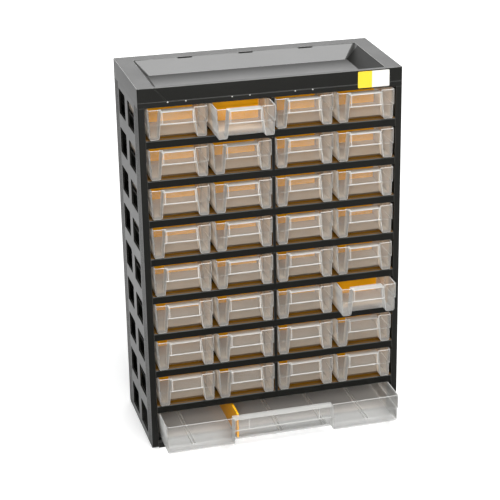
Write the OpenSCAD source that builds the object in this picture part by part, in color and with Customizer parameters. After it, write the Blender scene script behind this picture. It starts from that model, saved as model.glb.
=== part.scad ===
// Small-parts cabinet: a moulded frame that holds rows of small drawers over one wide drawer,
// with an open tray in its top. Millimetres, +Z up, +X to the right, the drawers face -Y.
// The origin is the centre of the frame's footprint, on the surface that it stands on.

/* [Layout] */
// Number of small drawers side by side
columns = 4; // [2:2:6]
// Number of rows of small drawers
rows = 8; // [2:1:10]
// Gap between the rims of two neighbouring small drawers
column_gap = 5.15; // [4.6:0.05:8]
// Free height above a drawer's rim in its opening
row_clear = 2; // [1.5:0.5:4]
// How far the drawer fronts stand proud of the frame
front_proud = 3; // [1:0.5:6]

/* [Frame] */
// Depth of the frame, front to back
frame_d = 132; // [110:1:180]
// Thickness of the moulded outer walls
wall_t = 2; // [1.6:0.1:3]
// Radius of the frame's upright front corners
frame_r = 1.6; // [0.5:0.1:1.9]
// Radius of the bottom corners of a side wall
side_foot_r = 3.5; // [0.5:0.1:6]
// Width of a side post, seen from the front
post_w = 7.5; // [6.5:0.5:12]
// Depth of the front and rear posts, seen from the side
post_d = 23.5; // [20:0.5:28]
// Width of the upright between the two columns of side windows
mullion_w = 15; // [8:0.5:22]
// Height of a side window
window_h = 29.7; // [15:0.1:31]
// Corner radius of a side window
window_r = 1.5; // [0.5:0.1:4]
// Depth of the flutes on the outer face of the posts
flute_depth = 0.5; // [0.2:0.1:0.8]
// Width of one flute
flute_w = 1.4; // [0.8:0.1:2]
// Distance between flutes
flute_pitch = 3.6; // [3:0.1:4.4]
// Thickness of the back panel
panel_t = 2.6; // [2:0.1:4]
// Depth of the pressed fields on the outer face of the back panel
field_depth = 0.8; // [0.4:0.1:1.2]
// Width of the band left between two fields
field_band = 12; // [8:1:20]
// Running clearance between parts that slot together
fit = 0.15; // [0.1:0.05:0.3]

/* [Shelves] */
// Thickness of a shelf board
shelf_t = 2; // [1.6:0.1:3]
// Height of the bar along the front of a shelf
bar_h = 10; // [8:0.5:14]
// Thickness of the front bar
bar_t = 3; // [2.5:0.1:4]
// Size of the sloping edge along the top of the front bar
bar_bevel = 1.8; // [0.5:0.1:2.2]
// Height of the stiffening lip along the back of a shelf
back_lip_h = 6; // [4:0.5:7]
// Thickness of the ledges that carry the shelves
ledge_t = 2; // [1.5:0.1:3]
// Thickness of the upright web in the middle of a shelf
web_t = 3.6; // [2.4:0.1:4]
// Height of the guide ribs between the columns
guide_h = 6; // [4:0.5:12]
// Side clearance between a guide rib and the foot of a drawer
guide_clear = 1; // [0.5:0.1:1.5]
// Distance from the front of the frame to the guide ribs
guide_setback = 36; // [10:1:60]

/* [Base] */
// Height of the base plinth
base_h = 9; // [7:0.5:20]
// Thickness of the base ribs
base_rib_t = 2.4; // [2:0.1:4]

/* [Top cover] */
// Height of the top cover
header_h = 22; // [20:0.5:40]
// Width of the tray's rim along the front
tray_front_rim = 5.5; // [4:0.5:10]
// Width of the tray's rim along the back
tray_back_rim = 17; // [14:0.5:30]
// Width of the tray's rim at either side
tray_side_rim = 19.2; // [15:0.1:40]
// Depth of the tray
tray_drop = 16; // [10:0.5:17]
// Upright part of the tray wall, just under the rim
tray_lip = 0.8; // [0.5:0.1:3]
// How far the tray's side walls slope inwards
tray_side_slope = 13.3; // [4:0.1:20]
// How far the tray's back wall slopes forwards
tray_back_slope = 11.6; // [4:0.1:20]
// Corner radius of the tray
tray_r = 3; // [2:0.5:12]
// Width of the groove that follows the tray on the front of the header
crease_w = 0.9; // [0.4:0.1:1.5]
// Depth of that groove
crease_depth = 0.5; // [0.2:0.1:1]
// Width of the sockets at the top of the tray's back wall
socket_w = 16.5; // [8:0.5:24]
// Height of those sockets
socket_h = 4.5; // [2:0.5:8]
// Radius of a keyhole's round entry
key_entry_r = 4.5; // [4:0.1:5]
// Width of a keyhole's neck
key_neck_w = 4.6; // [3.5:0.1:6]
// Length of a keyhole's neck
key_neck_len = 8; // [6:0.5:9]
// Distance between the two wall keyholes
key_spacing = 200; // [80:5:220]

/* [Small drawers] */
// Width of a small drawer at its rim
drawer_w = 66.6; // [60:0.2:90]
// Height of a small drawer
drawer_h = 34; // [32:0.5:60]
// Wall thickness of the drawers
drawer_wall = 1.2; // [1:0.1:1.6]
// Height of the ledge that runs round the drawers
ledge_z = 16.5; // [12:0.5:20]
// Step of that ledge
ledge_step = 0.7; // [0.4:0.1:0.9]
// How far each wall leans out above the ledge
upper_lean = 0.3; // [0.1:0.1:0.6]
// How far each wall leans out below the ledge
lower_lean = 0.4; // [0.2:0.05:1.3]
// Radius along the bottom edges
foot_r = 2; // [1.6:0.1:3]
// Radius of the upright corners
corner_r = 1.6; // [1.3:0.1:2.5]
// Distance that a closed drawer opens before its stops meet the bar
stop_travel = 95; // [60:1:100]
// Height of the stops above the rim
stop_h = 3.5; // [2.5:0.5:5]
// Length of a stop
stop_len = 6; // [4:0.5:12]

/* [Finger pull] */
// Depth of the finger pull behind the front
pull_depth = 12; // [9:0.5:16]
// Width of a small drawer's pull at its top
pull_top_w = 36; // [30:0.5:40]
// How far each side of that pull slopes out towards the bottom
pull_flare = 3.2; // [0.5:0.1:4]
// How far the hood of the pull lies below the rim
hood_drop = 3; // [2:0.5:5]
// Depth of the label pocket and of the lip under it
pocket_depth = 1; // [0.6:0.1:1.2]
// Height of the lip under the label
lip_h = 1.2; // [1:0.1:3]
// Width of a small drawer's label pocket
label_w = 33.8; // [20:0.2:34]
// Width of the guides at either side of a label
label_rib_w = 0.8; // [0.5:0.1:1.2]

/* [Large drawer] */
// Height of the large drawer
large_h = 34; // [32:0.5:70]
// Gap between the large drawer's rim and the post at either side
large_gap = 2.5; // [2:0.1:5]
// Width of the large drawer's pull at its top
large_pull_w = 118; // [60:0.2:140]
// How far each side of that pull slopes out towards the bottom
large_pull_flare = 0.8; // [0.2:0.1:4]
// Width of the large drawer's label pocket
large_label_w = 84.4; // [40:0.2:110]
// Distance between the divider slots of the large drawer
large_slot_pitch = 53; // [45:1:60]
// Thickness of the large drawer's divider
large_divider_t = 2.4; // [1.6:0.1:3]

/* [Dividers] */
// Thickness of a small drawer's divider
divider_t = 1.2; // [1:0.1:1.6]
// Distance from a small drawer's front to its first divider slot
first_slot = 33; // [30:1:40]
// Distance between the divider slots of a small drawer
slot_pitch = 30; // [22:1:32]
// Number of divider slots in a small drawer
slot_count = 3; // [2:1:3]
// How far the slot ribs stand out from the wall
slot_rib = 0.9; // [0.5:0.1:1.2]
// How far a divider's top lies below the rim
divider_drop = 1; // [0.5:0.5:4]

/* [Drawers left open] */
// How far the drawer in row 1, column 2 stands open
open_r1c2 = 18.5; // [0:0.5:60]
// How far the drawer in row 6, column 4 stands open
open_r6c4 = 16; // [0:0.5:60]
// How far the large drawer stands open
open_large = 31.5; // [0:0.5:60]

/* [Hidden] */
$fn = 48;
SMALL = [for (r = [1:rows]) for (c = [1:columns]) str("drawer_r", r, "c", c)];
SHELVES = [for (r = [1:rows]) str("shelf_", r)];

eps = 0.01;                                     // overshoot of a cut past the face it leaves
// Plan
column_pitch = drawer_w + column_gap;
bay_half = columns * column_pitch / 2;          // half the clear width between the posts
frame_half = bay_half + post_w;
front_y = -frame_d / 2;
back_y = frame_d / 2;
skin_half = frame_half - wall_t;                // inner face of a side wall
bar_back_y = front_y + bar_t;
panel_y = back_y - panel_t;                     // inner face of the back panel
post_back_y = front_y + post_d;
window_w = (frame_d - 2 * post_d - mullion_w) / 2;
drawer_front_y = front_y - front_proud;
drawer_len = panel_y - 2 * fit - drawer_front_y;
// Heights
opening_h = drawer_h + row_clear;
row_pitch = opening_h + bar_h;
low_shelf_z = base_h + large_h + row_clear + bar_h;
function shelf_z(row) = low_shelf_z + (rows - row) * row_pitch;
header_z = shelf_z(1) + opening_h;
frame_h = header_z + header_h;
levels = concat([base_h], [for (r = [1:rows]) shelf_z(r)]);     // tops of the boards
// Drawers
foot_inset = upper_lean + ledge_step + lower_lean;
foot_half = drawer_w / 2 - foot_inset;
inner_r = 0.1;                                  // least radius of an inner corner
inside_back_y = drawer_len - ledge_step - drawer_wall;         // back wall, below the ledge
stop_y = stop_travel + front_proud + bar_t;     // front of a stop, from the drawer's front
guide_half = column_pitch / 2 - foot_half - guide_clear;
large_half = bay_half - large_gap;
used_slot = first_slot + slot_pitch * floor(slot_count / 2);
tray_z = frame_h - tray_drop;
tray_half = frame_half - tray_side_rim;

body_colour = [0.13, 0.13, 0.12];
clear_colour = [0.86, 0.87, 0.86, 0.6];
divider_colour = [0.96, 0.62, 0.10];

// ---- shared shapes ----

// A block given by its lowest and highest corners
module block(low, high) {
    translate(low)
        cube(high - low);
}

// A square with round corners, centred
module round_rect(w, h, r) {
    square([w - 2 * r, h], center = true);
    square([w, h - 2 * r], center = true);
    for (x = [-1, 1], y = [-1, 1])
        translate([x * (w / 2 - r), y * (h / 2 - r)])
            circle(r);
}

// Extrudes a section drawn in X and Z along Y
module along_y(from, to) {
    translate([0, to, 0])
        rotate([90, 0, 0])
            linear_extrude(to - from)
                children();
}

// Half widths of a drawer's section, all less an inset: foot, under the ledge, over it, rim
function section_half(half, inset) = [
    half - foot_inset - inset,
    half - upper_lean - ledge_step - inset,
    half - upper_lean - inset,
    half - inset
];

// Cross-section of a drawer: leaning walls with a ledge half way up and round bottom edges
module section(half, inset, floor_z, top, r) {
    x = section_half(half, inset);
    lean = (x[1] - x[0]) / ledge_z;
    turn = atan(lean);
    foot = x[0] + lean * floor_z;
    cx = foot + lean * r - r / cos(turn);
    side = [
        [cx, floor_z],
        [cx + r * cos(turn), floor_z + r - r * sin(turn)],
        [x[1], ledge_z + inset],
        [x[2], ledge_z + inset],
        [x[3], top]
    ];
    polygon(concat(side, [for (i = [4:-1:0]) [-side[i][0], side[i][1]]]));
    for (m = [-1, 1])
        translate([m * cx, floor_z + r])
            circle(r);
}

// Outline of a finger pull that widens towards the bottom, grown by a margin at its sides
module pull_outline(top_w, flare, margin, low, high, full_h) {
    slope = flare / full_h;
    top_half = top_w / 2 + margin;
    polygon([
        [-top_half - slope * (full_h - low), low],
        [top_half + slope * (full_h - low), low],
        [top_half + slope * (full_h - high), high],
        [-top_half - slope * (full_h - high), high]
    ]);
}

// ---- drawers ----

// Plan of a drawer with round corners, over a stretch of its height
module plan(half, front, low, high, r) {
    translate([0, drawer_len / 2, low])
        linear_extrude(high - low)
            round_rect(2 * half, drawer_len - 2 * front, r);
}

// Outside of a drawer, or its inside where an inset is given: the section cut to its plan, which
// is smaller under the ledge
module drawer_body(half, inset, top) {
    corner = max(corner_r - inset, inner_r);
    intersection() {
        along_y(inset, drawer_len - inset)
            section(half, inset, inset, top, foot_r - inset);
        union() {
            plan(half - inset, inset, ledge_z + inset, top + eps, corner);
            plan(
                section_half(half, inset)[1],
                inset + ledge_step,
                inset - eps,
                ledge_z + inset + eps,
                corner
            );
        }
    }
}

// Rounds the lower corners of a leg beside a finger pull. The arc runs a hair past the faces that
// it joins, so that it crosses them cleanly.
module pull_feet(top_w, flare, full_h) {
    turn = atan(flare / full_h);
    leg_x = top_w / 2 + flare;
    centre_x = leg_x + foot_r * (1 / cos(turn) - tan(turn));
    for (m = [0, 1])
        mirror([m, 0])
            difference() {
                translate([centre_x - 2 * foot_r, -eps])
                    square([2 * foot_r, foot_r * (1 - sin(turn)) + eps]);
                translate([centre_x - eps, foot_r - eps])
                    circle(foot_r);
            }
}

// An open drawer with a hooded finger pull. Its front is at y = 0 and it stands on z = 0.
module drawer_shell(half, height, pull_w, flare, pocket_w) {
    hood_z = height - hood_drop;
    panel_back = pocket_depth + drawer_wall;
    difference() {
        drawer_body(half, 0, height);
        // the inside, which goes round the pull
        difference() {
            drawer_body(half, drawer_wall, height + eps);
            along_y(-eps, pull_depth + drawer_wall)
                pull_outline(pull_w, flare, drawer_wall, 0, hood_z, hood_z);
        }
        // the hand space under the hood, open to the front below the label
        along_y(-eps, pull_depth) {
            pull_outline(pull_w, flare, 0, -eps, ledge_z, hood_z);
            pull_feet(pull_w, flare, hood_z);
        }
        along_y(panel_back, pull_depth)
            pull_outline(pull_w, flare, 0, ledge_z - eps, hood_z - drawer_wall, hood_z);
        // the label pocket between its two guides, and the plain bands beside them
        difference() {
            along_y(-eps, pocket_depth)
                pull_outline(pull_w, flare, 0, ledge_z + lip_h, hood_z + eps, hood_z);
            for (m = [-1, 1])
                translate([m * (pocket_w + label_rib_w) / 2, 0, hood_z / 2])
                    cube([label_rib_w, 3 * pocket_depth, hood_z], center = true);
        }
        // the rim dips over the hood
        block([-pull_w / 2, -eps, hood_z], [pull_w / 2, drawer_wall + eps, height + eps]);
    }
}

// Stops on the rim, near the back, that meet the bar above when the drawer is pulled out
module stops(half, height) {
    root = drawer_wall / 2;
    for (m = [-1, 1])
        translate([
            m * (half - drawer_wall / 2),
            stop_y + stop_len / 2,
            height + (stop_h - root) / 2
        ])
            cube([drawer_wall - 2 * fit, stop_len, stop_h + root], center = true);
}

// Pairs of upright ribs on both side walls that hold a cross divider at y
module side_slot(y) {
    slot = divider_t + 2 * fit;
    intersection() {
        for (e = [-1, 1])
            translate([0, y + e * (slot + slot_rib) / 2, drawer_h / 2])
                cube([drawer_w, slot_rib, drawer_h - 2 * divider_drop], center = true);
        along_y(0, drawer_len)
            difference() {
                section(drawer_w / 2, drawer_wall / 2, drawer_wall / 2, drawer_h, foot_r / 2);
                square([2 * (foot_half - drawer_wall - slot_rib), 3 * drawer_h], center = true);
            }
    }
}

// Cross divider of a small drawer, which stands on the floor between the slot ribs
module cross_divider() {
    color(divider_colour)
        translate([0, 0, fit])
            along_y(used_slot - divider_t / 2, used_slot + divider_t / 2)
                section(
                    drawer_w / 2,
                    drawer_wall + fit,
                    drawer_wall,
                    drawer_h - divider_drop,
                    foot_r - drawer_wall
                );
}

function small_open(row, column) =
    row == 1 && column == 2 ? open_r1c2 :
    row == 6 && column == 4 ? open_r6c4 : 0;

module small_drawer(row, column) {
    x = (column - (columns + 1) / 2) * column_pitch;
    translate([x, drawer_front_y - small_open(row, column), shelf_z(row)]) {
        color(clear_colour) {
            drawer_shell(drawer_w / 2, drawer_h, pull_top_w, pull_flare, label_w);
            stops(drawer_w / 2, drawer_h);
            for (i = [0:slot_count - 1])
                side_slot(first_slot + i * slot_pitch);
        }
        cross_divider();
    }
}

// Pairs of low ribs across the large drawer's floor, one pair for each place of its divider
module floor_slots() {
    slot = large_divider_t + 2 * fit;
    reach = floor((large_half - large_slot_pitch / 2) / large_slot_pitch);
    for (i = [-reach:reach], e = [-1, 1])
        translate([i * large_slot_pitch + e * (slot + slot_rib) / 2, 0, 0])
            block(
                [-slot_rib / 2, pull_depth + drawer_wall, drawer_wall / 2],
                [slot_rib / 2, inside_back_y + drawer_wall / 2, drawer_wall + 2 * slot_rib]
            );
}

module large_drawer() {
    color(clear_colour)
        translate([0, drawer_front_y - open_large, base_h]) {
            drawer_shell(large_half, large_h, large_pull_w, large_pull_flare, large_label_w);
            stops(large_half, large_h);
            floor_slots();
        }
}

module large_divider() {
    color(divider_colour)
        translate([-large_slot_pitch, drawer_front_y - open_large, base_h])
            block(
                [-large_divider_t / 2, pull_depth + drawer_wall + fit, drawer_wall],
                [large_divider_t / 2, inside_back_y - fit, large_h - divider_drop]
            );
}

// ---- frame ----

// Front bar of a shelf with its sloping upper edge
module front_bar(z, height) {
    translate([-bay_half + fit, 0, 0])
        rotate([90, 0, 90])
            linear_extrude(2 * (bay_half - fit))
                polygon([
                    [front_y, z - height],
                    [bar_back_y, z - height],
                    [bar_back_y, z],
                    [front_y + bar_bevel, z],
                    [front_y, z - bar_bevel]
                ]);
}

// Shelf board: it reaches past the posts behind them, where the side ledges carry it
module board(z) {
    block([-bay_half + fit, bar_back_y - eps, z - shelf_t], [bay_half - fit, panel_y - fit, z]);
    block(
        [-skin_half + fit, post_back_y + fit, z - shelf_t],
        [skin_half - fit, panel_y - fit, z]
    );
}

// Low ribs that keep the drawers of one shelf apart, half as wide beside the posts
module guides(z) {
    for (k = [-columns / 2:columns / 2])
        if (k != 0)
            intersection() {
                translate([k * column_pitch, 0, z - shelf_t / 2])
                    block(
                        [-guide_half, front_y + guide_setback, 0],
                        [guide_half, panel_y - 2 * fit, guide_h + shelf_t / 2]
                    );
                block([-bay_half + fit, front_y, 0], [bay_half - fit, back_y, frame_h]);
            }
}

// Upright web in the middle of a shelf, which carries the shelf above
module middle_web(row) {
    z = shelf_z(row);
    rear_h = row == 1 ? opening_h : row_pitch - shelf_t;
    block([-web_t / 2, front_y, z - bar_bevel], [web_t / 2, bar_back_y, z + opening_h]);
    block([-web_t / 2, bar_back_y, z - shelf_t / 2], [web_t / 2, panel_y - 2 * fit, z + opening_h]);
    block([-web_t / 2, bar_back_y + fit, z], [web_t / 2, panel_y - 2 * fit - bar_t, z + rear_h]);
}

module shelf(row) {
    z = shelf_z(row);
    color(body_colour) {
        front_bar(z, bar_h);
        board(z);
        guides(z);
        middle_web(row);
        block(
            [-bay_half + fit, panel_y - fit - shelf_t, z - back_lip_h],
            [bay_half - fit, panel_y - fit, z]
        );
    }
}

// Base: a shelf board on a plinth, with ribs that reach the ground
module base() {
    color(body_colour) {
        front_bar(base_h, base_h);
        board(base_h);
        for (x = [-1, 1])
            translate([x * (bay_half - fit - base_rib_t / 2), 0, base_h / 2])
                translate([0, (bar_back_y + panel_y - fit) / 2, 0])
                    cube([base_rib_t, panel_y - fit - bar_back_y, base_h], center = true);
        for (k = [-columns / 2 + 1:columns / 2 - 1])
            translate([k * column_pitch, 0, 0])
                block(
                    [-base_rib_t / 2, bar_back_y - eps, 0],
                    [base_rib_t / 2, panel_y - fit, base_h - shelf_t / 2]
                );
        block(
            [-bay_half + fit, -base_rib_t / 2, 0],
            [bay_half - fit, base_rib_t / 2, base_h - shelf_t / 2]
        );
        block(
            [-bay_half + fit, panel_y - fit - base_rib_t, 0],
            [bay_half - fit, panel_y - fit, base_h - shelf_t / 2]
        );
    }
}

// Upright flutes on the outer face of a post whose middle is at y
module flutes(y) {
    count = floor((post_d - 2 * flute_w) / flute_pitch);
    for (i = [0:count - 1])
        translate([frame_half, y + (i - (count - 1) / 2) * flute_pitch, header_z / 2])
            cube([2 * flute_depth, flute_w, header_z + 2], center = true);
}

// What rounding takes off the upright front corner on the right-hand side
module corner_cut(low, high) {
    translate([frame_half - frame_r, front_y + frame_r, low - eps])
        linear_extrude(high - low + 2 * eps)
            difference() {
                translate([0, -frame_r - eps])
                    square(frame_r + eps);
                circle(frame_r);
            }
}

// What rounding takes off the bottom corners of a side wall, at its front and back
module foot_cuts() {
    for (m = [0, 1])
        mirror([0, m, 0])
            translate([bay_half - eps, front_y, 0])
                rotate([90, 0, 90])
                    linear_extrude(post_w + 2 * eps)
                        difference() {
                            translate([-eps, -eps])
                                square(side_foot_r + eps);
                            translate([side_foot_r, side_foot_r])
                                circle(side_foot_r);
                        }
}

// One opening of the side lattice, cut through the wall
module window(y, z) {
    translate([skin_half - eps, y + window_w / 2, z + window_h / 2])
        rotate([90, 0, 90])
            linear_extrude(wall_t + 2 * eps)
                round_rect(window_w, window_h, window_r);
}

// Skin of a side wall: the lattice with fluted posts
module side_skin() {
    difference() {
        block([skin_half, front_y, 0], [frame_half, back_y, header_z]);
        for (z = levels) {
            window(post_back_y, z);
            window(back_y - post_d - window_w, z);
        }
        flutes(front_y + post_d / 2);
        flutes(back_y - post_d / 2);
        corner_cut(0, header_z);
    }
}

// Side wall, drawn for the right-hand side: the skin, a hooked front post and the ledges
module side_wall() {
    color(body_colour)
        difference() {
            union() {
                side_skin();
                // the post's front and its return towards the back
                block([bay_half, front_y, 0], [skin_half + eps, front_y + wall_t, header_z]);
                block([bay_half, front_y, 0], [bay_half + wall_t, post_back_y, header_z]);
                // ledges behind the post, one under each shelf
                for (z = levels)
                    block(
                        [bay_half, post_back_y - eps, z - shelf_t - ledge_t],
                        [skin_half + eps, panel_y - fit, z - shelf_t]
                    );
                // tongues that locate the top cover
                for (y = [post_back_y, back_y - post_d - socket_w]) {
                    block(
                        [skin_half - fit - wall_t, y, header_z - window_h / 4],
                        [skin_half - fit, y + socket_w, header_z + socket_h]
                    );
                    block(
                        [skin_half - fit - eps, y, header_z - window_h / 4],
                        [skin_half + eps, y + socket_w, header_z - fit]
                    );
                }
            }
            foot_cuts();
        }
}

module right_side() {
    side_wall();
}

module left_side() {
    mirror([1, 0, 0])
        side_wall();
}

// Back panel between the side walls, with a field pressed into it behind each drawer
module back_panel() {
    field_w = column_pitch - field_band;
    field_h = row_pitch - field_band;
    color(body_colour)
        difference() {
            block([-skin_half + fit, panel_y, 0], [skin_half - fit, back_y, header_z]);
            for (r = [1:rows], c = [1:columns])
                translate([
                    (c - (columns + 1) / 2) * column_pitch,
                    back_y + eps,
                    shelf_z(r) + (opening_h - bar_h + field_band) / 2
                ])
                    rotate([90, 0, 0])
                        linear_extrude(field_depth + eps)
                            round_rect(field_w, field_h, window_r);
            translate([0, back_y + eps, (base_h + low_shelf_z) / 2])
                rotate([90, 0, 0])
                    linear_extrude(field_depth + eps)
                        round_rect(2 * bay_half - field_band, field_h, window_r);
        }
}

// Solid between two level outlines of the tray, grown on every side by a margin
module tray_solid(margin, low, high) {
    front = front_y + tray_front_rim - margin;
    back = back_y - tray_back_rim + margin;
    half = tray_half + margin;
    r = tray_r + margin;
    hull() {
        for (x = [-1, 1]) {
            translate([x * (half - r), front + r, high - eps])
                cylinder(r = r, h = eps);
            translate([x * (half - r), back - r, high - eps])
                cylinder(r = r, h = eps);
            translate([x * (half - tray_side_slope - r), front + r, low])
                cylinder(r = r, h = eps);
            translate([x * (half - tray_side_slope - r), back - tray_back_slope - r, low])
                cylinder(r = r, h = eps);
        }
    }
}

// Upright-walled outline of the tray's opening
module tray_mouth(margin, low, high) {
    translate([0, (front_y + tray_front_rim + back_y - tray_back_rim) / 2, low])
        linear_extrude(high - low)
            round_rect(
                2 * (tray_half + margin),
                frame_d - tray_front_rim - tray_back_rim + 2 * margin,
                tray_r + margin
            );
}

// Keyhole through the back of the top cover, entry below and neck above
module keyhole(x) {
    entry_z = header_z + (header_h - key_neck_len) / 2;
    translate([x, back_y - wall_t - eps, entry_z])
        rotate([-90, 0, 0])
            linear_extrude(wall_t + 2 * eps) {
                circle(key_entry_r);
                translate([0, -key_neck_len])
                    circle(key_neck_w / 2);
                translate([-key_neck_w / 2, -key_neck_len])
                    square([key_neck_w, key_neck_len]);
            }
}

// Groove on the header that follows the outline of the tray behind it
module crease() {
    rise = tray_drop - tray_lip;
    turn = atan(rise / tray_side_slope);
    for (m = [0, 1])
        mirror([m, 0, 0])
            translate([tray_half - tray_side_slope, front_y, tray_z])
                rotate([0, -turn, 0])
                    block(
                        [-crease_w / 2, -eps, -crease_w / 2],
                        [norm([rise, tray_side_slope]) + crease_w, crease_depth, crease_w / 2]
                    );
    block(
        [-tray_half + tray_side_slope, front_y - eps, tray_z - crease_w / 2],
        [tray_half - tray_side_slope, front_y + crease_depth, tray_z + crease_w / 2]
    );
}

// Top cover: the header, its side and back skirts, and the tray sunk into it
module top_cover() {
    color(body_colour)
        difference() {
            union() {
                difference() {
                    block([-frame_half, front_y, header_z], [frame_half, back_y, frame_h]);
                    block(
                        [-skin_half, bar_back_y, header_z - eps],
                        [skin_half, back_y - wall_t, frame_h - wall_t]
                    );
                }
                tray_solid(wall_t, tray_z - wall_t, frame_h - tray_lip);
                tray_mouth(wall_t, frame_h - tray_lip - wall_t, frame_h);
            }
            tray_solid(0, tray_z, frame_h - tray_lip + eps);
            tray_mouth(0, frame_h - tray_lip, frame_h + eps);
            crease();
            for (m = [0, 1])
                mirror([m, 0, 0])
                    corner_cut(header_z, frame_h);
            for (k = [-1, 0, 1])
                translate([
                    k * column_pitch,
                    back_y - tray_back_rim + wall_t / 4,
                    frame_h - tray_lip - socket_h / 2
                ])
                    cube([socket_w, wall_t, socket_h], center = true);
            for (x = [-1, 1])
                keyhole(x * key_spacing / 2);
        }
}

left_side();
right_side();
base();
back_panel();
top_cover();
for (r = [1:rows])
    shelf(r);
for (r = [1:rows], c = [1:columns])
    small_drawer(r, c);
large_drawer();
large_divider();
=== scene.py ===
"""Looks of a small-parts cabinet, laid out as a Blender add-on and run as a script.

The frame's solids are softened along their edges and get a grained black plastic. The small drawers
are softened copies of their solids in milky plastic, and the large drawer is its own solid. The cross
dividers, the header's marks and the plain sticker are surfaces worked out here. Lengths are in
metres.
"""

import math  # noqa: E402

import bmesh  # noqa: E402
import bpy  # noqa: E402
import numpy as np  # noqa: E402
from bpy.props import FloatProperty, FloatVectorProperty, PointerProperty  # noqa: E402
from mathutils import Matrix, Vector  # noqa: E402


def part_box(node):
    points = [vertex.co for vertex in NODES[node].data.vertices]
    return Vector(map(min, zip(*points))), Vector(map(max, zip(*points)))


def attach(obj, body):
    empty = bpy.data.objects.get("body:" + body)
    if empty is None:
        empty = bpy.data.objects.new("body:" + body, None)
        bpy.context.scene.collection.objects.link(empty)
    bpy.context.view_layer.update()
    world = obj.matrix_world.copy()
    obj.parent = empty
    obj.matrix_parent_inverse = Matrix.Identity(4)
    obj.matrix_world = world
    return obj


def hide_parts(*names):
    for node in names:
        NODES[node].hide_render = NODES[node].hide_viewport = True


bl_info = {
    "name": "Parts bin cabinet",
    "version": (1, 0, 0),
    "blender": (4, 5, 0),
    "location": "3D View > Sidebar > Parts bin",
    "description": "Dresses the cabinet's frame, drawers and dividers and sets its stage",
    "category": "Object",
}

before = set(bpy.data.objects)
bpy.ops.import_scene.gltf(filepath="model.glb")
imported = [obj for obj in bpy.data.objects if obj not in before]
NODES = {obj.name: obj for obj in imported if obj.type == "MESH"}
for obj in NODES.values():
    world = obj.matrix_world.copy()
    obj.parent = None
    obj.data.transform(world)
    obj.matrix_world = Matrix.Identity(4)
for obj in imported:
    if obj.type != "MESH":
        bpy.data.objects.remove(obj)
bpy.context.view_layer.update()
MM = 0.001
ROWS = sum(1 for name in NODES if name.startswith("shelf_"))
SMALL = sorted(name for name in NODES if name.startswith("drawer_r"))
COLUMNS = len(SMALL) // ROWS
FRAME_NODES = sorted(
    name for name in NODES if name not in SMALL and not name.startswith("large_")
)
COVER_LOW, COVER_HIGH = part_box("top_cover")

# Points nearer than this are one point, edges shorter than this stay sharp, and two faces have a sharp
# edge between them where they meet at more than this angle in degrees
SAME_POINT = 0.001 * MM
SHORT_EDGE = 0.25 * MM
SHARP_ANGLE = 32
# How far apart the points are that stand for a sharp edge, and what stays free between two roundings
EDGE_STEP = 1.2 * MM
EDGE_SPARE = 0.03 * MM

# How near a point lies to a flat face to count as on it
SKIN = 0.3 * MM
# Height of the tray's floor over the cover's lower edge, and the reach of the floor's painted sheen
TRAY_FLOOR = 6 * MM
SHEEN_REACH = 0.2 * MM
# The stretch of the cover that holds the tray's back wall: how far it stays from the cover's sides,
# where it begins and ends before the cover's rear face, and how far it goes under the tray's floor
WALL_SIDE = 12 * MM
WALL_REAR = (29 * MM, 10 * MM)
WALL_FOOT = 2 * MM
# Height of the top's glossy outer edge
TOP_EDGE = 0.45 * MM
# Depth of a shelf's front face, and the distances behind the front over which its amber light fades
SHELF_FACE = 0.8 * MM
GLOW_FADES = (14 * MM, 26 * MM)

# A small drawer's side walls: the height of their step, and how far they lean in at the bottom, under
# the step, over it and at the top
STEP_HEIGHT = 18 * MM
LEANS = (1.4 * MM, 1.0 * MM, 0.3 * MM, 0.0)
# A cross divider: its top over the drawer's underside, its distance from the outer faces of the side
# walls and from the underside, and how far its corners are rounded
DIVIDER_TOP = 33.15 * MM
DIVIDER_GAP = 1.35 * MM
DIVIDER_CORNER = 0.8 * MM

# The pin marks: radius, distance from the middle of a column of drawers, height on the header, and
# how far from the sticker's middle they stop
MARK_RADIUS = 0.8 * MM
MARK_OFFSET = 10 * MM
MARK_HEIGHT = 5 * MM
MARK_CLEAR = 30 * MM
# How much wider the cover is than its columns of drawers
COVER_SPARE = 15 * MM

# Place of each lamp and the side of its square
LAMPS = {
    "key": ((0.37, -0.71, 1.68), 1.1),
    "fill": ((-0.4, -1.8, 0.95), 0.9),
    "rim": ((0.3, 1.6, 1.5), 1.4),
}
# Where the camera stands, how far it looks down and to the side, and how its picture is shifted
EYE = (-0.4849, -1.8146, 0.9588)
EYE_DOWN = 23.23
EYE_TURN = -17.31
EYE_SHIFT = (-0.15, 0.084)
# Half the floor's side, and how far it lies under the cabinet
FLOOR_HALF = 12.0
FLOOR_DROP = 0.2 * MM


# ---------------------------------------------------------------- settings


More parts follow.
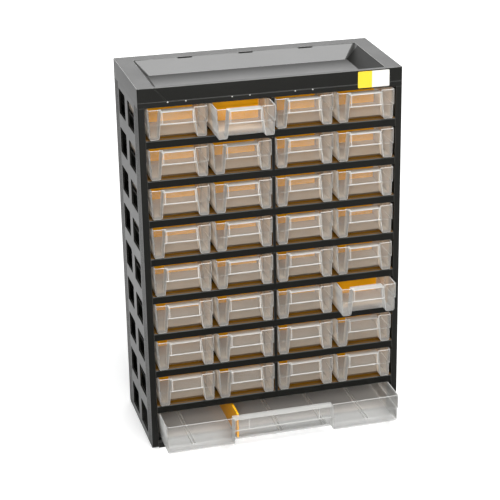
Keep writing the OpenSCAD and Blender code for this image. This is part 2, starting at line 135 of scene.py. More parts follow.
class FrameLook(bpy.types.PropertyGroup):
    """Finish of the black frame and of the marks on its header."""

    colour: FloatVectorProperty(
        name="Colour",
        description="Colour of the moulded frame",
        default=(0.0045, 0.0045, 0.0035),
        subtype="COLOR",
        min=0,
        max=1,
    )
    rubbed: FloatVectorProperty(
        name="Rubbed edges",
        description="Colour of the edges that hands and tools have rubbed",
        default=(0.03, 0.03, 0.027),
        subtype="COLOR",
        min=0,
        max=1,
    )
    amber: FloatVectorProperty(
        name="Amber",
        description="Colour of the shelves in the light that comes through the dividers",
        default=(0.1, 0.045, 0.003),
        subtype="COLOR",
        min=0,
        max=1,
    )
    # Painted sheen: a lighter colour on the tray's floor, for the reflection that the floor shows
    floor_sheen: FloatVectorProperty(
        name="Sheen",
        description="Colour of the tray's lightened floor",
        default=(0.065, 0.065, 0.064),
        subtype="COLOR",
        min=0,
        max=1,
    )
    # Painted glint: the pin marks' light grey colours stand in for the glints on their polish; the
    # marks and their polish are real
    pins: FloatVectorProperty(
        name="Pin marks",
        description="Brightest colour of the marks that the mould's pins leave",
        default=(0.5, 0.5, 0.47),
        subtype="COLOR",
        min=0,
        max=1,
    )
    dull_pin_glint: FloatVectorProperty(
        name="Dull pin marks",
        description="Darkest colour of these marks",
        default=(0.3, 0.3, 0.28),
        subtype="COLOR",
        min=0,
        max=1,
    )
    edge: FloatProperty(
        name="Edge radius",
        description="How far the frame's edges are rounded",
        default=0.4 * MM,
        min=0,
        unit="LENGTH",
    )
    grain: FloatProperty(
        name="Grain size",
        description="Size of the fine grain on the outer faces",
        default=0.9 * MM,
        min=0.0001,
        unit="LENGTH",
    )
    grain_height: FloatProperty(
        name="Grain height",
        description="Height of that grain",
        default=0.035 * MM,
        min=0,
        unit="LENGTH",
    )
    roughness: FloatProperty(
        name="Roughness",
        description="Roughness of the frame between the grains",
        default=0.36,
        min=0,
        max=1,
    )


class DrawerLook(bpy.types.PropertyGroup):
    """Finish of the milky drawers."""

    colour: FloatVectorProperty(
        name="Colour",
        description="Colour of the milky plastic",
        default=(0.57, 0.57, 0.555),
        subtype="COLOR",
        min=0,
        max=1,
    )
    warm: FloatVectorProperty(
        name="Warm colour",
        description="Colour of the plastic behind the front, in the dividers' light",
        default=(0.91, 0.8, 0.67),
        subtype="COLOR",
        min=0,
        max=1,
    )
    # Painted light: the large drawer's plastic behind its front is lighter than its front, for the
    # light inside the drawer
    cool: FloatVectorProperty(
        name="Cool colour",
        description="Colour of the large drawer's plastic behind its front",
        default=(0.905, 0.85, 0.785),
        subtype="COLOR",
        min=0,
        max=1,
    )
    # Painted light: the edges hold more haze, as thicker plastic seen edge on does, and their lighter
    # colours stand in for the light that the walls pipe to their edges
    rim: FloatVectorProperty(
        name="Rim colour",
        description="Colour of the small drawers' edges",
        default=(0.798, 0.798, 0.777),
        subtype="COLOR",
        min=0,
        max=1,
    )
    large_rim: FloatVectorProperty(
        name="Large rim colour",
        description="Colour of the large drawer's edges",
        default=(0.627, 0.627, 0.6105),
        subtype="COLOR",
        min=0,
        max=1,
    )
    front: FloatProperty(
        name="Front",
        description="Place of the closed drawers' fronts along Y",
        default=-69 * MM,
        unit="LENGTH",
    )
    haze: FloatProperty(
        name="Haze",
        description="Share of light that one face of a front wall holds back",
        default=0.05,
        min=0,
        max=1,
        subtype="FACTOR",
    )
    inner_haze: FloatProperty(
        name="Inner haze",
        description="Share of light that one face behind the front holds back",
        default=0.05,
        min=0,
        max=1,
        subtype="FACTOR",
    )
    edge_haze: FloatProperty(
        name="Edge haze",
        description="Share of light that the bright edges hold back",
        default=0.5,
        min=0,
        max=1,
        subtype="FACTOR",
    )
    edge: FloatProperty(
        name="Edge radius",
        description="How far the drawers' edges are rounded",
        default=0.42 * MM,
        min=0,
        unit="LENGTH",
    )


class DividerLook(bpy.types.PropertyGroup):
    """Size and finish of the dividers."""

    colour: FloatVectorProperty(
        name="Colour",
        description="Colour of the dividers",
        default=(0.93, 0.39, 0.003),
        subtype="COLOR",
        min=0,
        max=1,
    )
    lit_edge: FloatVectorProperty(
        name="Lit edge",
        description="Colour of a divider's edge, where the light comes through",
        default=(0.94, 0.62, 0.045),
        subtype="COLOR",
        min=0,
        max=1,
    )
    thickness: FloatProperty(
        name="Thickness",
        description="Thickness of a cross divider",
        default=1.2 * MM,
        min=0,
        unit="LENGTH",
    )
    place: FloatProperty(
        name="Place",
        description="Distance of a cross divider from its drawer's front",
        default=63 * MM,
        min=0,
        unit="LENGTH",
    )


class StickerLook(bpy.types.PropertyGroup):
    """Size and place of the plain sticker on the header."""

    width: FloatProperty(
        name="Width", description="Width of the sticker", default=37 * MM, min=0, unit="LENGTH"
    )
    height: FloatProperty(
        name="Height", description="Height of the sticker", default=19 * MM, min=0, unit="LENGTH"
    )
    centre_x: FloatProperty(
        name="Place",
        description="Distance of its middle from the cabinet's middle",
        default=117 * MM,
        unit="LENGTH",
    )
    block: FloatProperty(
        name="Coloured part",
        description="Width of its coloured part",
        default=16.5 * MM,
        min=0,
        unit="LENGTH",
    )
    colour: FloatVectorProperty(
        name="Colour",
        description="Colour of that part",
        default=(0.66, 0.46, 0.02),
        subtype="COLOR",
        min=0,
        max=1,
    )
    film: FloatVectorProperty(
        name="Film",
        description="Colour of the rest of the film",
        default=(0.56, 0.55, 0.52),
        subtype="COLOR",
        min=0,
        max=1,
    )
    worn: FloatVectorProperty(
        name="Worn spots",
        description="Colour that shows a little where the film is worn",
        default=(0.55, 0.54, 0.5),
        subtype="COLOR",
        min=0,
        max=1,
    )


class StageLook(bpy.types.PropertyGroup):
    """Floor, lamps and camera."""

    floor: FloatVectorProperty(
        name="Floor",
        description="Colour of the floor",
        default=(0.84, 0.84, 0.84),
        subtype="COLOR",
        min=0,
        max=1,
    )
    world: FloatProperty(
        name="World", description="Strength of the even light", default=0.3, min=0
    )
    key: FloatProperty(
        name="Key lamp", description="Power of the lamp above", default=29.0, min=0, unit="POWER"
    )
    fill: FloatProperty(
        name="Fill lamp", description="Power of the lamp in front", default=31.0, min=0, unit="POWER"
    )
    rim: FloatProperty(
        name="Rim lamp", description="Power of the lamp behind", default=16.0, min=0, unit="POWER"
    )
    lens: FloatProperty(
        name="Lens", description="Focal length of the camera", default=123.35, min=1
    )


GROUPS = {
    "parts_frame": FrameLook,
    "parts_drawers": DrawerLook,
    "parts_dividers": DividerLook,
    "parts_sticker": StickerLook,
    "parts_stage": StageLook,
}


def look(name):
    """The settings group of that name."""
    return getattr(bpy.context.scene, name)


# ---------------------------------------------------------------- shader maths


class Shade:
    """A socket of a material's nodes. Arithmetic on it adds Math nodes, and node() adds any other."""

    def __init__(self, tree, socket=None):
        self.tree = tree
        self.socket = socket

    def node(self, kind, settings=None, inputs=None, output=0):
        """Adds a node: first its settings, then the values or links of its sockets."""
        made = self.tree.nodes.new(kind)
        for name, value in (settings or {}).items():
            setattr(made, name, value)
        for name, value in (inputs or {}).items():
            if isinstance(value, Shade):
                self.tree.links.new(value.socket, made.inputs[name])
            else:
                made.inputs[name].default_value = value
        return Shade(self.tree, made.outputs[output] if made.outputs else None)

    def maths(self, operation, *values):
        """A Math node on up to three values."""
        return self.node("ShaderNodeMath", {"operation": operation}, dict(enumerate(values)))

    def __add__(self, other):
        return self.maths("ADD", self, other)

    def __radd__(self, other):
        return self.maths("ADD", other, self)

    def __sub__(self, other):
        return self.maths("SUBTRACT", self, other)

    def __rsub__(self, other):
        return self.maths("SUBTRACT", other, self)

    def __mul__(self, other):
        return self.maths("MULTIPLY", self, other)

    def __rmul__(self, other):
        return self.maths("MULTIPLY", other, self)

    def __pow__(self, other):
        return self.maths("POWER", self, other)

    def __gt__(self, other):
        return self.maths("GREATER_THAN", self, other)

    def __lt__(self, other):
        return self.maths("LESS_THAN", self, other)

    def __abs__(self):
        return self.maths("ABSOLUTE", self)

    def step(self, low, high):
        """0 below low and 1 above high, smooth between them."""
        return self.node(
            "ShaderNodeMapRange",
            {"interpolation_type": "SMOOTHSTEP"},
            {0: self, 1: low, 2: high, 3: 0.0, 4: 1.0},
        )

    def mix(self, first, second):
        """Colour first where this is 0 and second where it is 1."""
        return self.node(
            "ShaderNodeMix", {"data_type": "RGBA"}, {0: self, 6: first, 7: second}, output=2
        )

    def bump(self, strength, distance):
        """The normal of a face that this raises by up to the distance."""
        inputs = {"Height": self, "Strength": strength, "Distance": distance}
        return self.node("ShaderNodeBump", None, inputs)


def new_material(name):
    """An empty material, and the start of its shader maths."""
    made = bpy.data.materials.new(name)
    made.use_nodes = True
    made.node_tree.nodes.clear()
    return made, Shade(made.node_tree)


def object_place(shade):
    """The point's place on its piece, in metres, as a vector."""
    return shade.node("ShaderNodeTexCoord", output="Object")


def place_along(shade, axis):
    """The point's place along X, Y or Z, in metres."""
    return shade.node("ShaderNodeSeparateXYZ", None, {0: object_place(shade)}, output=axis)


def noise(shade, size, detail, stretch=(1, 1, 1)):
    """Noise whose blobs are about this size in metres, drawn out along an axis by a smaller stretch."""
    inputs = {"Vector": object_place(shade), "Scale": stretch}
    place = shade.node("ShaderNodeMapping", None, inputs)
    inputs = {"Vector": place, "Scale": 1.0 / size, "Detail": detail}
    return shade.node("ShaderNodeTexNoise", None, inputs)


def finish_surface(shade, inputs):
    """Ends a material in a Principled shader with these values and links."""
    surface = shade.node("ShaderNodeBsdfPrincipled", None, inputs)
    shade.node("ShaderNodeOutputMaterial", None, {"Surface": surface})


def colour4(colour, factor=1.0):
    """A colour with its alpha, made lighter or darker by a factor."""
    return tuple(min(c * factor, 1.0) for c in colour) + (1.0,)


# ---------------------------------------------------------------- materials


def frame_material(name, colour, polish, amber=None, lip=0.0):
    """Black moulded plastic: a fine pebble grain, a slow change in gloss, and a few dull specks.

    The tray's back wall and the cabinet's sides are glossier, and so is the top's outer edge by the
    share lip. With an amber colour the plastic is duller and takes that colour behind the front, as
    painted amber light from the orange dividers.
    """
    s = look("parts_frame")
    made, shade = new_material(name)
    grain = noise(shade, s.grain, 1.0)
    cloud = noise(shade, 45 * MM, 3.0)
    specks = noise(shade, 2.4 * MM, 2.0).step(0.66, 0.74)
    tone = (cloud * 0.35 + specks * 0.5).mix(colour4(colour, 0.85), colour4(colour, 1.7))
    x, y, z = (place_along(shade, axis) for axis in "XYZ")
    tray_floor = COVER_LOW.z + TRAY_FLOOR
    # Painted sheen: the tray's floor takes a lighter colour, for the reflection that it shows
    tone = (abs(z - tray_floor) < SHEEN_REACH).mix(tone, colour4(s.floor_sheen))
    if amber is None:
        wall = (z > tray_floor - WALL_FOOT) * (z < COVER_HIGH.z - SKIN)
        wall = wall * (abs(x) < COVER_HIGH.x - WALL_SIDE)
        wall = wall * (y > COVER_HIGH.y - WALL_REAR[0]) * (y < COVER_HIGH.y - WALL_REAR[1])
        sides = abs(x) > COVER_HIGH.x - SKIN
        top_edge = z > COVER_HIGH.z - TOP_EDGE
        shine, coat = 0.25, wall + sides * 0.65 + top_edge * lip
    else:
        # Painted light: behind their front face the shelves take the amber colour, for the light that
        # the orange dividers pass onto them
        behind = y - COVER_LOW.y
        front = behind < SHELF_FACE
        painted_amber = (1 - front) * (1 - behind.step(*GLOW_FADES))
        tone = painted_amber.mix(tone, colour4(amber))
        shine, coat = 0.02, front * 0.4
    finish_surface(
        shade,
        {
            "Base Color": tone,
            "Roughness": s.roughness - polish + cloud * 0.12 + specks * 0.1,
            "Specular IOR Level": shine,
            "IOR": 1.5,
            "Coat Weight": coat,
            "Coat Roughness": 0.3,
            "Coat IOR": 1.5,
            "Normal": grain.bump(0.3, s.grain_height),
        },
    )
    return made


def milky_material(name, haze, inner, colour, warm, roughness):
    """Milky plastic: haze on every face, more of it at a glance and in slow streaks of flow.

    Behind the front, where the light has passed the orange dividers, the haze is warm. Its share and
    its colour go from the front's to the inner ones over the first part of the drawer's depth.
    """
    s = look("parts_drawers")
    made, shade = new_material(name)
    flow = noise(shade, 22 * MM, 3.0, (1, 0.35, 1))
    fine = noise(shade, 1.1 * MM, 1.0)
    glance = shade.node("ShaderNodeLayerWeight", None, {"Blend": 0.5}, output="Facing")
    # Painted light: behind the front the haze and colour go over to the inner and warm ones, for the
    # light inside the drawer that has passed the dividers
    warmth = (place_along(shade, "Y") - s.front).step(1.5 * MM, 12 * MM)
    base = haze + warmth * (inner - haze)
    held = base + (1 - base) * 0.97 * glance.step(0.1, 0.9) + (flow - 0.5) * 0.05
    finish_surface(
        shade,
        {
            "Base Color": warmth.mix(colour4(colour), colour4(warm)),
            "Roughness": roughness + flow * 0.08,
            "Specular IOR Level": 0.35,
            "IOR": 1.49,
            "Alpha": held.maths("MINIMUM", held, 1.0),
            "Normal": fine.bump(0.05, 0.03 * MM),
        },
    )
    return made


def divider_material(name, colour):
    """Orange-yellow plastic, a little cloudy, with a satin face."""
    made, shade = new_material(name)
    cloud = noise(shade, 18 * MM, 2.0)
    fine = noise(shade, 0.8 * MM, 1.0)
    tone = cloud.mix(colour4(colour, 0.88), colour4(colour, 1.08))
    finish_surface(
        shade,
        {
            "Base Color": tone,
            "Roughness": 0.32 + cloud * 0.12,
            "Specular IOR Level": 0.12,
            "IOR": 1.49,
            "Normal": fine.bump(0.2, 0.03 * MM),
        },
    )
    return made


def sticker_material():
    """White film with one coloured end, both a little worn."""
    s = look("parts_sticker")
    made, shade = new_material("sticker_film")
    block = place_along(shade, "X") < s.centre_x - s.width / 2 + s.block
    worn = noise(shade, 1.5 * MM, 3.0).step(0.6, 0.75)
    tone = block.mix(colour4(s.film), colour4(s.colour))
    tone = (worn * 0.15).mix(tone, colour4(s.worn))
    finish_surface(
        shade,
        {
            "Base Color": tone,
            "Roughness": 0.3 + worn * 0.3,
            "Specular IOR Level": 0.5,
            "Normal": worn.bump(0.15, 0.03 * MM),
        },
    )
    return made


def floor_material():
    """Pale paper that is white where the camera sees it, and whiter far from the cabinet.

    To reflections it is darker in front of the cabinet and to its left, so the black frame stays deep.
    """
    made, shade = new_material("floor_paper")
    seen = shade.node("ShaderNodeLightPath", output="Is Camera Ray")
    through = shade.node("ShaderNodeLightPath", output="Is Transmission Ray")
    shown = seen.maths("MAXIMUM", seen, through)
    mirrored = shade.node("ShaderNodeLightPath", output="Is Glossy Ray")
    x, y = (place_along(shade, axis) for axis in "XY")
    in_front = 1 - y.step(-0.15, -0.05)
    to_left = 1 - 0.6 * x.step(-0.1, 0.8)
    far = ((x**2.0 + y**2.0) ** 0.5).step(0.7, 2.5)
    dark = mirrored * in_front * to_left * 0.85
    finish_surface(
        shade,
        {
            "Base Color": dark.mix(colour4(look("parts_stage").floor), (0.0, 0.0, 0.0, 1.0)),
            "Roughness": 0.6,
            "Specular IOR Level": 0.1,
            "Emission Color": shown * (0.35 + 0.65 * far),
            "Emission Strength": 1.0,
        },
    )
    return made


def mark_material():
    """Polish left by the ends of the mould's pins, with a painted glint in its light grey colours."""
    s = look("parts_frame")
    made, shade = new_material("mark_polish")
    fine = noise(shade, 0.5 * MM, 1.0)
    finish_surface(
        shade,
        {
            "Base Color": fine.mix(colour4(s.dull_pin_glint), colour4(s.pins)),
            "Roughness": 0.2 + fine * 0.1,
            "Specular IOR Level": 1.0,
            "Coat Weight": 1.0,
            "Coat Roughness": 0.12,
        },
    )
    return made


# ---------------------------------------------------------------- meshes


def arrays(mesh):
    """A mesh's points with those that lie together merged, each old one's new number, and triangles."""
    points = np.empty(len(mesh.vertices) * 3)
    mesh.vertices.foreach_get("co", points)
    corners = np.empty(len(mesh.loops), int)
    mesh.loops.foreach_get("vertex_index", corners)
    points = points.reshape(-1, 3)
    rounded = np.round(points / SAME_POINT).astype(np.int64)
    _, first, group = np.unique(rounded, axis=0, return_index=True, return_inverse=True)
    group = group.reshape(-1)
    triangles = group[corners].reshape(-1, 3)
    whole = (triangles != np.roll(triangles, 1, axis=1)).all(axis=1)
    return points[first], group, triangles[whole]


def along(ends, step):
    """Points along segments, the middles of equal pieces that are no longer than a step."""
    length = np.linalg.norm(ends[:, 1] - ends[:, 0], axis=1)
    count = np.maximum(np.ceil(length / step), 1).astype(int)
    which = np.repeat(np.arange(len(ends)), count)
    place = np.arange(len(which)) - np.repeat(np.cumsum(count) - count, count)
    t = ((place + 0.5) / count[which])[:, None]
    return ends[which, 0] * (1 - t) + ends[which, 1] * t


def edge_shares(mesh, radius):
    """Share of the rounding radius that each edge of a mesh can take, and which edges are sharp.

    A sharp edge is rounded where its faces bulge outwards. It is given half the distance to the
    nearest other sharp edge that lies beside it, and not ahead of it. Short edges stay sharp, and so
    do those with less than a quarter of the radius.
    """
    points, group, triangles = arrays(mesh)
    sides = points[np.roll(triangles, -1, axis=1)] - points[triangles]
    normals = np.cross(sides[:, 0], sides[:, 1])
    normals /= np.maximum(np.linalg.norm(normals, axis=1, keepdims=True), 1e-15)
    pairs = np.sort(np.stack([triangles, np.roll(triangles, -1, axis=1)], axis=-1), axis=-1)
    pairs = pairs.reshape(-1, 2)
    opposite = np.roll(triangles, -2, axis=1).reshape(-1)
    face = np.repeat(np.arange(len(triangles)), 3)
    keys = pairs[:, 0] * len(points) + pairs[:, 1]
    order = np.argsort(keys, kind="stable")
    twin = keys[order][:-1] == keys[order][1:]
    one, two = order[:-1][twin], order[1:][twin]
    level = math.cos(math.radians(SHARP_ANGLE))
    sharp = (normals[face[one]] * normals[face[two]]).sum(axis=1) < level
    one, two = one[sharp], two[sharp]
    ends = points[pairs[one]]
    bulges = (normals[face[one]] * (points[opposite[two]] - ends[:, 0])).sum(axis=1) < 0
    room = room_beside(ends[bulges], along(ends, EDGE_STEP))
    share = np.clip((room / 2 - EDGE_SPARE) / radius, 0, 1)
    length = np.linalg.norm(ends[bulges, 1] - ends[bulges, 0], axis=1)
    share[(share < 0.25) | (length < SHORT_EDGE)] = 0
    edges = np.empty(len(mesh.edges) * 2, int)
    mesh.edges.foreach_get("vertices", edges)
    edges = np.sort(group[edges.reshape(-1, 2)], axis=1)
    edges = edges[:, 0] * len(points) + edges[:, 1]
    found = keys[one][bulges]
    order = np.argsort(found)
    place = np.minimum(np.searchsorted(found[order], edges), len(found) - 1)
    shares = np.where(found[order][place] == edges, share[order][place], 0.0)
    return shares, np.isin(edges, keys[one])


def room_beside(ends, others, block=100):
    """Distance from each segment to the nearest of the other points that lies beside it.

    It is measured from up to five places on the segment, 1 mm or more from its ends where it is long
    enough, and a point counts where the way to it is at 45 degrees or more to the segment. The
    segments are taken in blocks, to save memory.
    """
    others = others.astype(np.float32)
    length = np.linalg.norm(ends[:, 1] - ends[:, 0], axis=1)
    heading = ((ends[:, 1] - ends[:, 0]) / length[:, None]).astype(np.float32)
    margin = np.minimum(1.0 * MM / length, 0.5)
    room = np.full(len(ends), 1.0)
    for part in (0.5, 0.0, 0.25, 0.75, 1.0):
        tried = np.flatnonzero((length > 2.5 * MM) | (part == 0.5))
        t = (margin + part * (1 - 2 * margin))[tried, None]
        own = (ends[tried, 0] * (1 - t) + ends[tried, 1] * t).astype(np.float32)
        for k in range(0, len(own), block):
            to = others[None] - own[k:k + block, None]
            far = np.einsum("ijk,ijk->ij", to, to)
            ahead = np.einsum("ijk,ik->ij", to, heading[tried[k:k + block]]) ** 2
            far[(ahead > 0.5 * far) | (far < (0.01 * MM) ** 2)] = 1.0
            nearest = np.sqrt(far.min(axis=1))
            room[tried[k:k + block]] = np.minimum(room[tried[k:k + block]], nearest)
    return room


def soften(obj, radius, shares=None):
    """Rounds a piece's edges: joins its flat triangles, splits what is left anew, and bevels by shares.

    The edges that stay sharp are marked, in place of the marks and normals that the piece came with.
    """
    share, sharp = shares or edge_shares(obj.data, radius)
    marks = obj.data.attributes
    for old in ("custom_normal", "sharp_edge"):
        if old in marks:
            marks.remove(marks[old])
    weights = marks.new("bevel_weight_edge", "FLOAT", "EDGE")
    weights.data.foreach_set("value", share.astype(np.float32))
    marks.new("sharp_edge", "BOOLEAN", "EDGE").data.foreach_set("value", sharp & (share == 0))
    weld = obj.modifiers.new("weld", "WELD")
    weld.merge_threshold = 2 * SAME_POINT
    flat = obj.modifiers.new("flat", "DECIMATE")
    flat.decimate_type = "DISSOLVE"
    flat.angle_limit = math.radians(0.2)
    obj.modifiers.new("split", "TRIANGULATE").min_vertices = 5
    bevel = obj.modifiers.new("edge", "BEVEL")
    bevel.width = radius
    bevel.segments = 2
    bevel.limit_method = "WEIGHT"
    bevel.use_clamp_overlap = False
    bevel.loop_slide = False
    bevel.harden_normals = True
    bevel.material = 1
    obj.data.polygons.foreach_set("use_smooth", np.ones(len(obj.data.polygons), bool))


def dress(obj, *materials):
    """Gives a piece its materials, the second one for its rounded edges."""
    obj.data.materials.clear()
    for material in materials:
        obj.data.materials.append(material)


def new_piece(name, points, faces, *materials):
    """A mesh object at the origin from an array of points and a list of faces."""
    mesh = bpy.data.meshes.new(name)
    mesh.from_pydata(points.tolist(), [], faces)
    mesh.validate()
    made = bpy.data.objects.new(name, mesh)
    bpy.context.scene.collection.objects.link(made)
    dress(made, *materials)
    return made


def drawer_template():
    """The first small drawer without its divider, with its lowest corner at the origin.

    It keeps the triangles that have a point off the divider's slab, which is taken a little thicker.
    """
    points, _, triangles = arrays(NODES[SMALL[0]].data)
    s = look("parts_dividers")
    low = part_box(SMALL[0])[0]
    margin = 0.05 * MM
    off = np.abs(points[:, 1] - (low.y + s.place)) > s.thickness / 2 + margin
    kept = triangles[off[triangles].any(axis=1)]
    used, renumbered = np.unique(kept, return_inverse=True)
    return points[used] - np.array(low), renumbered.reshape(-1, 3)


def rounded_outline(corners, radius, steps=5):
    """Corners of a polygon cut round: each one becomes an arc from radius before it to radius after it.

    The arc is the quadratic curve from the point before, bent by the corner, to the point after.
    """
    corners = np.asarray(corners, float)
    before = np.roll(corners, 1, axis=0) - corners
    after = np.roll(corners, -1, axis=0) - corners
    start = corners + before / np.linalg.norm(before, axis=1, keepdims=True) * radius
    end = corners + after / np.linalg.norm(after, axis=1, keepdims=True) * radius
    t = np.linspace(0, 1, steps)[None, :, None]
    arc = (1 - t) ** 2 * start[:, None] + 2 * t * (1 - t) * corners[:, None] + t**2 * end[:, None]
    return arc.reshape(-1, 2)


def plate(name, outline, depths, insets, place, *materials):
    """A plate with rounded rims, its outline in X and Z and its thickness along Y.

    Ring k of the surface is the outline drawn in by insets[k] at depth depths[k], where drawing in
    moves each point against the outline's own outward direction. The first and last rings are
    closed by flat faces. A second material goes on the rims.
    """
    ahead = np.roll(outline, -1, axis=0) - np.roll(outline, 1, axis=0)
    out = np.stack([ahead[:, 1], -ahead[:, 0]], axis=1)
    out /= np.linalg.norm(out, axis=1, keepdims=True)
    rings = outline[None] - out[None] * np.asarray(insets)[:, None, None]
    y = np.broadcast_to(np.asarray(depths)[:, None], rings.shape[:2])
    points = np.stack([rings[..., 0], y, rings[..., 1]], axis=-1).reshape(-1, 3)
    n, k = len(outline), len(depths)
    i = np.arange(n)
    j = (i + 1) % n
    rows = np.arange(k - 1)[:, None] * n
    sides = np.stack([rows + i, rows + j, rows + n + j, rows + n + i], axis=-1).reshape(-1, 4)
    faces = sides.tolist() + [i[::-1].tolist(), ((k - 1) * n + i).tolist()]
    made = new_piece(name, points + np.array(place), faces, *materials)
    mesh = bmesh.new()
    mesh.from_mesh(made.data)
    bmesh.ops.recalc_face_normals(mesh, faces=mesh.faces)
    mesh.to_mesh(made.data)
    mesh.free()
    rim = np.abs(np.array([p.normal.y for p in made.data.polygons])) < 0.999
    made.data.polygons.foreach_set("use_smooth", rim)
    if len(materials) > 1:
        made.data.polygons.foreach_set("material_index", rim.astype(np.int32))
    return made


# ---------------------------------------------------------------- operators


class PARTS_OT_frame(bpy.types.Operator):
    """Softens the frame's solids and gives them their black plastic."""

    bl_idname = "parts.frame"
    bl_label = "Dress frame"

    def execute(self, context):
        s = look("parts_frame")
        body = frame_material("frame_plastic", s.colour, 0.0)
        shelf = frame_material("shelf_plastic", s.colour, 0.0, s.amber)
        rubbed = frame_material("frame_rubbed", s.rubbed, 0.08, lip=1.0)
        for name in FRAME_NODES:
            dress(NODES[name], shelf if name.startswith("shelf_") else body, rubbed)
            soften(NODES[name], s.edge)
        return {"FINISHED"}


class PARTS_OT_drawers(bpy.types.Operator):
    """Makes the small milky drawers and finishes the large one, all with bright rounded edges."""

    bl_idname = "parts.drawers"
    bl_label = "Make drawers"

    def execute(self, context):
        s = look("parts_drawers")
        wall = milky_material("drawer_wall", s.haze, s.inner_haze, s.colour, s.warm, 0.2)
        # The edges' lighter colour is painted light piped along the walls
        rim = milky_material("drawer_edge", s.edge_haze, s.edge_haze / 2, s.rim, s.warm, 0.25)
        points, triangles = drawer_template()
        shares = None
        for name in SMALL:
            place = np.array(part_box(name)[0])
            made = new_piece("tray_" + name[-4:], points + place, triangles.tolist(), wall, rim)
            if shares is None:
                shares = edge_shares(made.data, s.edge)
            soften(made, s.edge, shares)
            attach(made, name)
            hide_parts(name)
        wall = milky_material("large_wall", s.haze, s.inner_haze, s.colour, s.cool, 0.2)
        rim = milky_material("large_edge", s.edge_haze, s.edge_haze / 4, s.large_rim, s.cool, 0.25)
        dress(NODES["large_drawer"], wall, rim)
        soften(NODES["large_drawer"], s.edge)
        return {"FINISHED"}


class PARTS_OT_dividers(bpy.types.Operator):
    """Makes a cross divider for each small drawer and finishes the large one."""

    bl_idname = "parts.dividers"
    bl_label = "Make dividers"

    def execute(self, context):
        s = look("parts_dividers")
        face = divider_material("divider_plastic", s.colour)
        lit = divider_material("divider_edge", s.lit_edge)
        dress(NODES["large_divider"], face, lit)
        soften(NODES["large_divider"], look("parts_frame").edge)
        rim = s.thickness / 4
        depths = np.array([-2, -1.3, 1.3, 2]) * rim
        for name in SMALL:
            low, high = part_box(name)
            outline = rounded_outline(divider_corners((high.x - low.x) / 2), DIVIDER_CORNER)
            place = ((low.x + high.x) / 2, low.y + s.place, low.z)
            made = plate("divider_" + name[-4:], outline, depths, [rim, 0, 0, rim], place, face, lit)
            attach(made, name)
        return {"FINISHED"}


def divider_corners(half):
    """Corners in X and Z of a cross divider, which follow the walls of a drawer of that half width."""
    heights = [DIVIDER_GAP, STEP_HEIGHT, STEP_HEIGHT, DIVIDER_TOP]
    right = [(half - lean - DIVIDER_GAP, z) for lean, z in zip(LEANS, heights)]
    left = [(-x, z) for x, z in reversed(right)]
    return right + left


class PARTS_OT_marks(bpy.types.Operator):
    """Adds the small marks that the mould's pins leave along the header, bright with a painted glint.
    """

    bl_idname = "parts.marks"
    bl_label = "Add header marks"

    def execute(self, context):
        polish = mark_material()
        pitch = (COVER_HIGH.x - COVER_LOW.x - COVER_SPARE) / COLUMNS
        middles = (np.arange(COLUMNS) - (COLUMNS - 1) / 2) * pitch
        places = (middles[:, None] + np.array([-MARK_OFFSET, MARK_OFFSET])).reshape(-1)
        places = places[places < look("parts_sticker").centre_x - MARK_CLEAR]
        turn = np.linspace(0, 2 * math.pi, 16, endpoint=False)
        outline = np.stack([np.cos(turn), np.sin(turn)], axis=1) * MARK_RADIUS
        for k, x in enumerate(places):
            made = plate(
                f"header_mark_{k + 1}",
                outline,
                np.array([0.1, -0.1, -0.25]) * MM,
                np.array([0, 0, 0.35]) * MM,
                (x, COVER_LOW.y, COVER_LOW.z + MARK_HEIGHT),
                polish,
            )
            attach(made, "cabinet")
        return {"FINISHED"}


class PARTS_OT_sticker(bpy.types.Operator):
    """Puts the plain sticker on the header."""

    bl_idname = "parts.sticker"
    bl_label = "Add sticker"

    def execute(self, context):
        s = look("parts_sticker")
        w, h = s.width / 2, s.height / 2
        outline = rounded_outline([(w, -h), (w, h), (-w, h), (-w, -h)], 1.5 * MM)
        made = plate(
            "sticker",
            outline,
            np.array([0.05, -0.15, -0.2]) * MM,
            np.array([0, 0, 0.06]) * MM,
            (s.centre_x, COVER_LOW.y, (COVER_LOW.z + COVER_HIGH.z) / 2),
            sticker_material(),
        )
        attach(made, "cabinet")
        return {"FINISHED"}


class PARTS_OT_stage(bpy.types.Operator):
    """Sets the pale floor, the soft lamps and the camera."""

    bl_idname = "parts.stage"
    bl_label = "Set stage"

    def execute(self, context):
        s = look("parts_stage")
        context.scene.view_settings.view_transform = "Standard"
        corners = np.array([(-1, -1, 0), (1, -1, 0), (1, 1, 0), (-1, 1, 0)]) * FLOOR_HALF
        corners[:, 2] = -FLOOR_DROP
        new_piece("floor", corners, [[0, 1, 2, 3]], floor_material())
        context.scene.world = studio_world(s.world)
        for name, (place, size) in LAMPS.items():
            add_lamp(name, getattr(s, name), place, size)
        context.scene.camera = add_camera(s.lens)
        return {"FINISHED"}


def studio_world(strength):
    """Even light of that strength, which the camera, reflections and clear plastic see as white."""
    world = bpy.data.worlds.new("studio")
    world.use_nodes = True
    world.node_tree.nodes.clear()
    shade = Shade(world.node_tree)
    seen = shade.node("ShaderNodeLightPath", output="Is Camera Ray")
    mirrored = shade.node("ShaderNodeLightPath", output="Is Glossy Ray")
    through = shade.node("ShaderNodeLightPath", output="Is Transmission Ray")
    shown = seen.maths("MAXIMUM", seen.maths("MAXIMUM", seen, mirrored), through)
    inputs = {"Color": (1.0, 1.0, 1.0, 1.0), "Strength": strength + shown * (1.0 - strength)}
    light = shade.node("ShaderNodeBackground", None, inputs)
    shade.node("ShaderNodeOutputWorld", None, {"Surface": light})
    return world


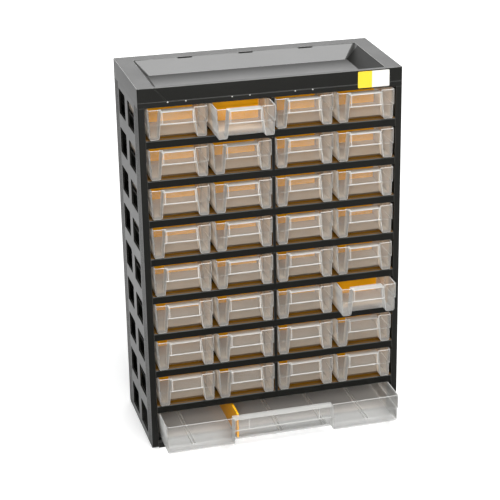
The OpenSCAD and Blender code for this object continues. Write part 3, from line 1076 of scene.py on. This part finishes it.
def add_lamp(name, power, place, size):
    """A square area lamp that faces the cabinet's middle."""
    lamp = bpy.data.lights.new(name, "AREA")
    lamp.energy = power
    lamp.size = size
    made = bpy.data.objects.new(name, lamp)
    bpy.context.scene.collection.objects.link(made)
    made.location = place
    aim = Vector((0, 0, COVER_HIGH.z / 2)) - Vector(place)
    made.rotation_euler = aim.to_track_quat("-Z", "Y").to_euler()


def add_camera(lens):
    """The camera, in front of the cabinet, above it and to its left."""
    camera = bpy.data.cameras.new("camera")
    camera.lens = lens
    camera.sensor_width = 36.0
    camera.clip_end = 100.0
    camera.shift_x, camera.shift_y = EYE_SHIFT
    eye = bpy.data.objects.new("camera", camera)
    bpy.context.scene.collection.objects.link(eye)
    eye.location = EYE
    eye.rotation_euler = (math.radians(90 - EYE_DOWN), 0, math.radians(EYE_TURN))
    return eye


OPERATORS = (
    PARTS_OT_stage,
    PARTS_OT_frame,
    PARTS_OT_drawers,
    PARTS_OT_dividers,
    PARTS_OT_marks,
    PARTS_OT_sticker,
)


class PARTS_PT_panel(bpy.types.Panel):
    """Lists the cabinet's steps and settings."""

    bl_idname = "PARTS_PT_panel"
    bl_label = "Parts bin cabinet"
    bl_space_type = "VIEW_3D"
    bl_region_type = "UI"
    bl_category = "Parts bin"

    def draw(self, context):
        for operator in OPERATORS:
            self.layout.operator(operator.bl_idname)
        for group in GROUPS:
            box = self.layout.box()
            settings = getattr(context.scene, group)
            for name in settings.bl_rna.properties.keys():
                if name not in ("name", "rna_type"):
                    box.prop(settings, name)


def register():
    """Adds the settings, the steps and the panel."""
    for name, group in GROUPS.items():
        bpy.utils.register_class(group)
        setattr(bpy.types.Scene, name, PointerProperty(type=group))
    for operator in OPERATORS:
        bpy.utils.register_class(operator)
    bpy.utils.register_class(PARTS_PT_panel)


def unregister():
    """Takes the panel, the steps and the settings away again."""
    bpy.utils.unregister_class(PARTS_PT_panel)
    for operator in reversed(OPERATORS):
        bpy.utils.unregister_class(operator)
    for name, group in reversed(GROUPS.items()):
        delattr(bpy.types.Scene, name)
        bpy.utils.unregister_class(group)


def main():
    """Takes every step in order."""
    register()
    for operator in OPERATORS:
        family, step = operator.bl_idname.split(".")
        getattr(getattr(bpy.ops, family), step)()


if __name__ == "__main__":
    main()
